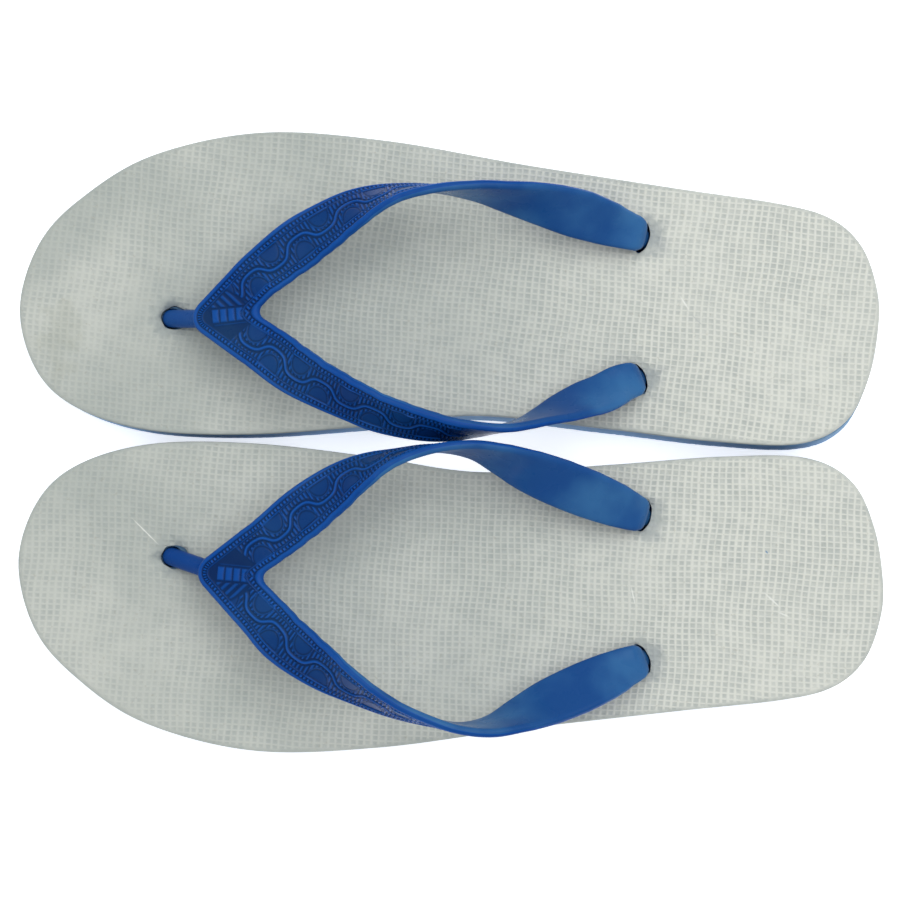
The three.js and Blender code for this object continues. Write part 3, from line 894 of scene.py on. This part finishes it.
def arm_skin(shoe, line, arm, even, places, settings):
    """Points of an arm's skin in rows along it, with the height of its relief."""
    half = half_opening(shoe)
    side, face = places[None, :, 0], places[None, :, 1]
    even = even[:, None]
    fade = np.minimum(1, even / PLATE_LENGTH)
    plate = PLATE_WIDTH / 2
    crotch = plate + CROTCH_RADIUS
    on_axis = crotch / math.sin(half) - CROTCH_RADIUS
    corner_run, fillet_end = on_axis * math.cos(half), crotch / math.tan(half)
    edge_run = even + corner_run * (1 - fade)
    reach = np.clip(edge_run - fillet_end, -CROTCH_RADIUS, 0)
    excess = CROTCH_RADIUS - np.sqrt(CROTCH_RADIUS**2 - reach**2)
    width_at = line.at(edge_run[:, 0])[4][:, None]
    uneven = 0.1 * np.sin(even / 1.7) + 0.08 * np.sin(even / 0.83 + 1)
    uneven = uneven * smooth_step(even, 14, 24) * (0.3 + 0.7 * smooth_step(even, 98, 84))
    half_in = width_at / 2 + excess + uneven
    half_out = line.at(even[:, 0])[4][:, None] / 2 * (TIP_NARROWING + (1 - TIP_NARROWING) * fade)
    run = even + np.where(side > 0, side, 0) * corner_run * (1 - fade)
    across_by = np.where(side > 0, side * half_in, side * half_out)
    edge = np.minimum(half_in - across_by, half_out + across_by)
    centre, forward, across, up, _, thickness = line.at(run)
    radius = thickness / 2 - 0.2
    fall = edge_drop(edge, radius)
    ahead = run * math.cos(half) + across_by * math.sin(half)
    aside = (run * math.sin(half) - across_by * math.cos(half)) * -line.inward
    first, wave = arm["first_medallion"], arm["wave"]
    in_arm = smooth_step(run - 0.35 * across_by, 9.5, 10.3)
    in_centre = smooth_step(run - 0.35 * across_by, 9.7, 9.0) * smooth_step(edge, 3.55, 3.8)
    relief = rim_relief(edge, run, TOOTH_PITCH)
    relief += in_arm * vine_relief(run, across_by, edge, first, wave)
    relief += in_centre * centre_relief(ahead, aside, edge)
    smooth_end = smooth_step(run, settings.pattern_end / MM, settings.pattern_end / MM - 9)
    relief = relief * smooth_end * settings.relief_height
    height = np.where(face > 0, thickness / 2 - fall + relief, np.where(face < 0, fall - thickness / 2, 0))
    points = centre + across * across_by[..., None] + up * height[..., None]
    return points, np.where(face > 0, relief, 0)


def bend_frames(line, share):
    """Centre, across and face directions where the neck bends down."""
    slope = BEND_START + (math.pi / 2 - BEND_START) * share
    ahead = np.array([math.cos(line.heading), math.sin(line.heading), 0])
    inner = np.array([-ahead[1], ahead[0], 0]) * line.inward
    up = np.array([0, 0, 1.0])
    centre = np.array([*line.hole, SOLE_TOP + 0.5]) - ahead * BEND_RADIUS * (1 - math.sin(slope))
    centre = centre + up * BEND_RADIUS * math.cos(slope)
    return centre, -inner, -(ahead * math.sin(slope) + up * math.cos(slope))


def plain_ring(centre, across, face, width, thickness, places, roundness):
    """One ring of the neck or stem, from a flat oblong to a circle."""
    side, out = places[:, 0], places[:, 1]
    edge = (1 - np.abs(side)) * width / 2
    height = out * (thickness / 2 - edge_drop(edge, thickness / 2 - 0.2))
    shrink = np.maximum(np.abs(side), np.abs(out)) / np.hypot(side, out)
    round_by = np.column_stack([side * shrink * width / 2, out * shrink * thickness / 2])
    flat_by = np.column_stack([side * width / 2, height])
    by = flat_by * (1 - roundness) + round_by * roundness
    return centre + across * by[:, :1] + face * by[:, 1:]


def neck_skin(line, places):
    """Rings of the neck's bend and of the stem that goes down into the sole."""
    rings = []
    for share in np.linspace(0, 1, 10)[1:]:
        centre, across, face = bend_frames(line, share)
        width = NECK_WIDTH * math.sqrt(1 - (NECK_TAPER * share) ** 2)
        rings.append(plain_ring(centre, across, face, width, NECK_THICKNESS, places, 0.5 * share))
    centre, across, face = bend_frames(line, 1)
    top = centre[2]
    for height in np.linspace(top, STEM_END, 9)[1:]:
        turned_by = min(1, (top - height) / (top - STEM_TOP))
        width = LOW_NECK_WIDTH + (STEM_DIAMETER - LOW_NECK_WIDTH) * turned_by
        thickness = NECK_THICKNESS + (STEM_DIAMETER - NECK_THICKNESS) * turned_by
        centre = np.array([centre[0], centre[1], height])
        rings.append(plain_ring(centre, across, face, width, thickness, places, 0.5 + 0.5 * turned_by))
    return np.array(rings)


def tip_skin(shoe, outer, places, steps, settings):
    """Rows that fan round the V's tip; their inner halves all lie on the mitre line."""
    half = half_opening(shoe)
    widest = math.pi / 2 - half
    angle = np.linspace(-widest, widest, steps + 2)[1:-1, None]
    side, face = places[None, :, 0], places[None, :, 1]
    centre, forward, across, up, _, thickness = (value[0] for value in outer.at(np.zeros(1)))
    ahead = forward * math.cos(half) + across * math.sin(half)
    aside = forward * math.sin(half) - across * math.cos(half)
    plain = PLATE_WIDTH / 2 * TIP_NARROWING
    reach = plain + (TIP_REACH - plain) * np.cos(angle / widest * math.pi / 2) ** 2
    crotch = PLATE_WIDTH / 2 + CROTCH_RADIUS
    on_axis = crotch / math.sin(half) - CROTCH_RADIUS
    by_ahead = np.where(side < 0, side * reach * np.cos(angle), side * on_axis)
    by_aside = np.where(side < 0, -side * reach * np.sin(angle), 0)
    inner_edge = (PLATE_WIDTH / 2 + excess_at_axis(half)) * (1 - side)
    edge = np.where(side < 0, (1 + side) * reach, inner_edge)
    arc = (angle + widest) * TIP_REACH
    pitch = 2 * widest * TIP_REACH / round(2 * widest * TIP_REACH / TOOTH_PITCH)
    relief = rim_relief(edge, arc, pitch)
    relief = relief + smooth_step(edge, 3.55, 3.8) * centre_relief(by_ahead, by_aside, edge)
    relief *= settings.relief_height
    fall = edge_drop(edge, thickness / 2 - 0.2)
    height = np.where(face > 0, thickness / 2 - fall + relief, np.where(face < 0, fall - thickness / 2, 0))
    points = centre + ahead * by_ahead[..., None] + aside * by_aside[..., None] + up * height[..., None]
    return points, np.where(face > 0, relief, 0)


def excess_at_axis(half):
    """How far the rounded crotch widens the band's inner half on the mitre line."""
    crotch = PLATE_WIDTH / 2 + CROTCH_RADIUS
    on_axis = crotch / math.sin(half) - CROTCH_RADIUS
    return on_axis * math.sin(half) - PLATE_WIDTH / 2


def band_skin(shoe, settings):
    """Every ring of the band from the arch stem through the V to the outer stem."""
    places = section_columns(66, 12)
    thickness = settings.thickness / MM
    skins, reliefs = {}, {}
    for name, arm in shoe["arms"].items():
        line = ArmLine(shoe, name, thickness)
        fine = np.arange(0, settings.pattern_end / MM, settings.row_spacing / MM)
        coarse = np.linspace(fine[-1], line.length, 64)[1:]
        points, relief = arm_skin(shoe, line, arm, np.concatenate([fine, coarse]), places, settings)
        neck = neck_skin(line, places)
        skins[name] = np.concatenate([points, neck])
        reliefs[name] = np.concatenate([relief, np.zeros(neck.shape[:2])])
        if name == "outer":
            tip, tip_relief = tip_skin(shoe, line, places, 44, settings)
    skins["arch"][0, places[:, 0] >= 0] = skins["outer"][0, places[:, 0] >= 0]
    tip[:, places[:, 0] >= 0] = skins["outer"][:1, places[:, 0] >= 0]
    rows = np.concatenate([skins["arch"][::-1], tip, skins["outer"]])
    relief = np.concatenate([reliefs["arch"][::-1], tip_relief, reliefs["outer"]])
    rows[..., 1] *= shoe["side"]
    return placed(shoe, rows), relief, places


def wrap_grid(name, rows, relief, places):
    """A grid sheet wrapped round the band and closed at its ends."""
    deselect_all()
    count = rows.shape[:2]
    bpy.ops.mesh.primitive_grid_add(x_subdivisions=count[0] - 1, y_subdivisions=count[1] - 1, size=2)
    sheet = bpy.context.object
    sheet.name = name
    co = points_of(sheet)
    i = np.round((co[:, 0] + 1) / 2 * (count[0] - 1)).astype(int)
    j = np.round((co[:, 1] + 1) / 2 * (count[1] - 1)).astype(int)
    if len(co) != count[0] * count[1]:
        raise RuntimeError(f"the grid has {len(co)} points and the band {count[0] * count[1]}")
    move_points(sheet, rows[i, j])
    tone = np.where(places[j, 1] > 0, relief[i, j], SMOOTH_BACK)
    attribute = sheet.data.attributes.new("relief", "FLOAT", "POINT")
    attribute.data.foreach_set("value", tone.astype(np.float32))
    edit(sheet)
    bpy.ops.mesh.select_all(action="SELECT")
    bpy.ops.mesh.remove_doubles(threshold=MERGE * MM)
    bpy.ops.mesh.select_all(action="SELECT")
    bpy.ops.mesh.fill_holes(sides=0)
    bpy.ops.mesh.select_all(action="SELECT")
    bpy.ops.mesh.normals_make_consistent(inside=False)
    done()
    return sheet


def post_route(shoe):
    """The toe post's middle line, upright in the sole and then leaning back to the V."""
    apex = np.array(shoe["apex"])
    arms = shoe["arms"]
    axis = math.radians((arms["outer"]["heading"] + arms["arch"]["heading"]) / 2)
    ahead = np.array([math.cos(axis), math.sin(axis), 0])
    top = apex - 2 * ahead
    below = top + 5 * unit(ahead * PLATE_SLOPE - np.array([0, 0, 1]))
    upright = [np.array([*TOE_HOLE, height]) for height in [STEM_END, *POST_UPRIGHT]]
    knee = upright[-1]
    route = np.array(upright + [knee + (below - knee) * 0.33, knee + (below - knee) * 0.67, below, top])
    fine = smooth_curve(route, np.linspace(0, 1, 40))
    return placed(shoe, fine * [1, shoe["side"], 1])


def make_post(shoe):
    """The round toe post, swept along its route."""
    route = post_route(shoe)
    deselect_all()
    curve = bpy.data.curves.new("post", "CURVE")
    curve.dimensions = "3D"
    curve.bevel_depth = POST_RADIUS * MM
    curve.bevel_resolution = 7
    curve.use_fill_caps = True
    spline = curve.splines.new("POLY")
    spline.points.add(len(route) - 1)
    for point, place in zip(spline.points, route):
        point.co = (*place, 1)
    post = bpy.data.objects.new("post", curve)
    bpy.context.scene.collection.objects.link(post)
    only(post)
    bpy.ops.object.convert(target="MESH")
    post = bpy.context.object
    edit(post)
    bpy.ops.mesh.select_all(action="SELECT")
    bpy.ops.mesh.remove_doubles(threshold=MERGE * MM)
    done()
    face_outwards(post)
    return post


def make_plug(shoe, centre, radius):
    """A round retaining plug with a bevelled rim and a sunk ring on its underside."""
    plug = plan_prism(shoe, "plug", circle_round(centre, radius, 64), PLUG_BOTTOM, PLUG_TOP)
    edit(plug)
    select_faces(plug, lambda middle, normal: normal.z < -0.9)
    for inward, outward in PLUG_STEPS:
        bpy.ops.mesh.inset(thickness=inward * MM, depth=outward * MM)
    done()
    co = points_of(plug)
    co[:, 2] = np.where(co[:, 2] < (PLUG_BOTTOM + 0.9) * MM, co[:, 2] + 0.35 * MM, co[:, 2])
    move_points(plug, co)
    return plug


def make_strap(shoe, settings, material):
    rows, relief, places = band_skin(shoe, settings)
    strap = wrap_grid("band", rows, relief, places)
    combine(strap, make_post(shoe), "UNION")
    for centre, radius in zip(hole_centres(shoe), PLUG_RADII):
        combine(strap, make_plug(shoe, centre, radius), "UNION")
    return finish_piece(strap, shoe, "strap", material, math.radians(60))


def strap_material(settings):
    """Glossy deep blue rubber, with painted shade in the relief's hollows, painted highlights on its raised
    parts, and painted sheen and light on its thin edges and smooth back.
    """
    material, tree, shader = new_material("deep blue moulded rubber")
    coordinates = node(tree, "ShaderNodeTexCoord").outputs["Object"]
    looked = node(tree, "ShaderNodeAttribute", attribute_name="relief", attribute_type="GEOMETRY")
    relief = looked.outputs["Fac"]
    # Painted light and shade: the relief's hollows are darkened as shade and its raised parts lightened as
    # highlights.
    relief_light_and_shade = ramp(tree, relief, -0.32, 0.25)
    deep = settings.rubber_colour
    colour = blend_colour(tree, relief_light_and_shade, [c * 0.3 for c in deep], [c * 1.75 for c in deep])
    # Painted light: the side walls and the smooth back take the lighter colour as painted sheen and light.
    smooth = ramp(tree, relief, 0.45, SMOOTH_BACK)
    colour = blend_colour(tree, smooth, colour, settings.painted_sheen_colour)
    # Painted sheen: a cloudy mix towards a paler blue on the smooth back and the raised relief stands in
    # for blotchy gloss and highlights.
    cloud = ramp(tree, noise(tree, coordinates, 38, 3), 0.35, 0.68)
    pale = blend_colour(tree, cloud, deep, [c * 1.35 for c in settings.painted_sheen_colour])
    colour = blend_colour(tree, ramp(tree, relief, 0.2, SMOOTH_BACK, 0.18, 0.7), colour, pale)
    roughness = ramp(tree, noise(tree, coordinates, 130, 3), 0.3, 0.7, 0.22, 0.36)
    tree.links.new(roughness, shader.inputs["Roughness"])
    let_light_in(shader, 0.06, (0.001, 0.003, 0.006), 0.5)
    finish_surface(tree, shader, colour, 0.09, noise(tree, coordinates, 1100, 3), 0.12, 0.0001)
    return material


# ---------- stage ----------


def make_floor():
    deselect_all()
    bpy.ops.mesh.primitive_plane_add(size=30, location=(0, 0, -0.0002))
    floor = bpy.context.object
    floor.name = "floor"
    material, tree, shader = new_material("white table")
    shader.inputs["Base Color"].default_value = (0.97, 0.97, 0.97, 1)
    shader.inputs["Roughness"].default_value = 0.9
    shader.inputs["Specular IOR Level"].default_value = 0.1
    shader.inputs["Emission Color"].default_value = (1, 1, 1, 1)
    shader.inputs["Emission Strength"].default_value = 0.55
    floor.data.materials.append(material)


def make_light(name, place, size, power):
    bpy.ops.object.light_add(type="AREA", location=place)
    light = bpy.context.object
    light.name = name
    light.data.shape = "SQUARE"
    light.data.size = size
    light.data.energy = power
    light.rotation_euler = Vector(place).to_track_quat("Z", "Y").to_euler()


def make_camera(settings):
    target = Vector((0, -0.0034, 0.015))
    away = Vector((0, -math.sin(settings.tilt), math.cos(settings.tilt)))
    bpy.ops.object.camera_add(location=target + away * settings.distance, rotation=(settings.tilt, 0, 0))
    camera = bpy.context.object
    camera.data.lens = settings.lens
    camera.data.sensor_width = 36
    bpy.context.scene.camera = camera


# ---------- operators ----------


class FLIPFLOPS_OT_footbeds(bpy.types.Operator):
    """Make both netted white footbeds"""

    bl_idname = "flipflops.footbeds"
    bl_label = "Footbeds"
    bl_options = {"REGISTER", "UNDO"}

    def execute(self, context):
        settings = context.scene.flipflop_footbeds
        for shoe in SHOES:
            make_footbed(shoe, settings, foam_material(shoe, settings))
        return {"FINISHED"}


class FLIPFLOPS_OT_outsoles(bpy.types.Operator):
    """Make both blue outsoles with their tread"""

    bl_idname = "flipflops.outsoles"
    bl_label = "Outsoles"
    bl_options = {"REGISTER", "UNDO"}

    def execute(self, context):
        settings = context.scene.flipflop_outsoles
        material = outsole_material(settings)
        for shoe in SHOES:
            make_outsole(shoe, settings, material)
        return {"FINISHED"}


class FLIPFLOPS_OT_straps(bpy.types.Operator):
    """Make both moulded straps with their toe posts and plugs"""

    bl_idname = "flipflops.straps"
    bl_label = "Straps"
    bl_options = {"REGISTER", "UNDO"}

    def execute(self, context):
        settings = context.scene.flipflop_straps
        material = strap_material(settings)
        for shoe in SHOES:
            make_strap(shoe, settings, material)
        return {"FINISHED"}


class FLIPFLOPS_OT_stage(bpy.types.Operator):
    """Set up the white table, the soft light and the camera"""

    bl_idname = "flipflops.stage"
    bl_label = "Stage"
    bl_options = {"REGISTER", "UNDO"}

    def execute(self, context):
        settings = context.scene.flipflop_stage
        make_floor()
        make_light("softbox above", (0.22, 0.3, 1.15), 1.3, settings.light_power)
        world = bpy.data.worlds.new("white surround")
        world.use_nodes = True
        background = world.node_tree.nodes["Background"]
        background.inputs["Color"].default_value = (1, 1, 1, 1)
        background.inputs["Strength"].default_value = settings.sky_strength
        context.scene.world = world
        context.scene.view_settings.view_transform = "Standard"
        make_camera(settings)
        return {"FINISHED"}


class FLIPFLOPS_PT_panel(bpy.types.Panel):
    """Settings and buttons for the pair"""

    bl_label = "Flip Flops"
    bl_idname = "FLIPFLOPS_PT_panel"
    bl_space_type = "VIEW_3D"
    bl_region_type = "UI"
    bl_category = "Flip Flops"

    def draw(self, context):
        for name in ("footbeds", "outsoles", "straps", "stage"):
            settings = getattr(context.scene, "flipflop_" + name)
            box = self.layout.box()
            for key in settings.__annotations__:
                box.prop(settings, key)
            box.operator("flipflops." + name)


CLASSES = [
    FootbedSettings, OutsoleSettings, StrapSettings, StageSettings,
    FLIPFLOPS_OT_footbeds, FLIPFLOPS_OT_outsoles, FLIPFLOPS_OT_straps, FLIPFLOPS_OT_stage,
    FLIPFLOPS_PT_panel,
]
GROUPS = {
    "flipflop_footbeds": FootbedSettings,
    "flipflop_outsoles": OutsoleSettings,
    "flipflop_straps": StrapSettings,
    "flipflop_stage": StageSettings,
}


def register():
    for item in CLASSES:
        bpy.utils.register_class(item)
    for name, group in GROUPS.items():
        setattr(bpy.types.Scene, name, PointerProperty(type=group))


def unregister():
    for name in GROUPS:
        delattr(bpy.types.Scene, name)
    for item in reversed(CLASSES):
        bpy.utils.unregister_class(item)


def main():
    register()
    bpy.ops.flipflops.footbeds()
    bpy.ops.flipflops.outsoles()
    bpy.ops.flipflops.straps()
    bpy.ops.flipflops.stage()


if __name__ == "__main__":
    main()
